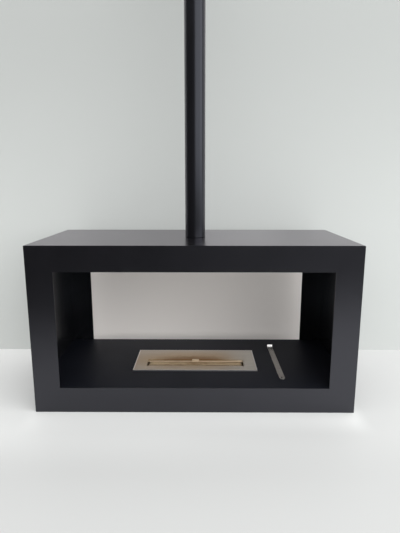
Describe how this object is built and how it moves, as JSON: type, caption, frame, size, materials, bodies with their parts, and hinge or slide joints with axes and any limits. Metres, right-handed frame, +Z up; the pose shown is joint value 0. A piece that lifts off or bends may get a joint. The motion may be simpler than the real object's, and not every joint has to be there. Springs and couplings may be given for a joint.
{
  "type": "bioethanol fireplace",
  "caption": "See-through hanging bioethanol fireplace: open black steel casing on a ceiling pole, stainless burner insert with sliding damper and loose damper tool.",
  "frame": {"origin": "centre of the whole part's box, at the casing's underside", "axes": "+Z up along the suspension pole, +X to the right seen from the front, -Y towards the front opening"},
  "size_m": [0.945, 0.405, 1.506],
  "materials": {
    "black_powder_coat": "satin black powder coat",
    "black_pole_coat": "satin black powder coat",
    "inner_steel": "primed steel",
    "zinc_fastener": "zinc plated",
    "dark_screw": "blackened",
    "burner_steel": "brushed stainless, straw and brown heat tint round the slot",
    "stainless": "brushed stainless, heat tinted",
    "ceramic_wool": "fibrous, singed",
    "tool_steel": "brushed stainless"
  },
  "bodies": {
    "casing": {"front_frame": "black_powder_coat", "rear_frame": "black_powder_coat", "outer_top_panel": "black_powder_coat", "outer_bottom_panel": "black_powder_coat", "outer_left_panel": "black_powder_coat", "outer_right_panel": "black_powder_coat", "firebox_floor_panel": "black_powder_coat", "casing_welds": "black_powder_coat", "roof_plate": "black_powder_coat", "roof_ribs": "black_powder_coat", "pole_tube": "black_pole_coat", "ceiling_cover": "black_pole_coat", "floor_bearers": "inner_steel", "pole_end_plug": "inner_steel", "ceiling_plate": "inner_steel", "ceiling_spigot": "inner_steel", "pole_washers": "zinc_fastener", "pole_bolts": "zinc_fastener", "pole_cross_bolt": "zinc_fastener", "pole_cross_nut": "zinc_fastener", "cover_set_screw": "dark_screw"},
    "burner": {"burner_top_plate": "burner_steel", "fuel_tank": "stainless", "damper_guides": "stainless", "wool_basket": "stainless", "ceramic_wool": "ceramic_wool"},
    "damper": {"damper_plate": "stainless"},
    "tool": {"damper_tool": "tool_steel"}
  },
  "joints": [
    {"name": "burner_lift", "type": "slide", "parent": "casing", "child": "burner", "axis": [0, 0, 1], "range_m": [0, 0.15]},
    {"name": "damper_slide", "type": "slide", "parent": "burner", "child": "damper", "axis": [0, -1, 0], "range_m": [0, 0.044]},
    {"name": "tool_slide", "type": "slide", "parent": "casing", "child": "tool", "axis": [0, -1, 0], "range_m": [0, 0.33]}
  ]
}
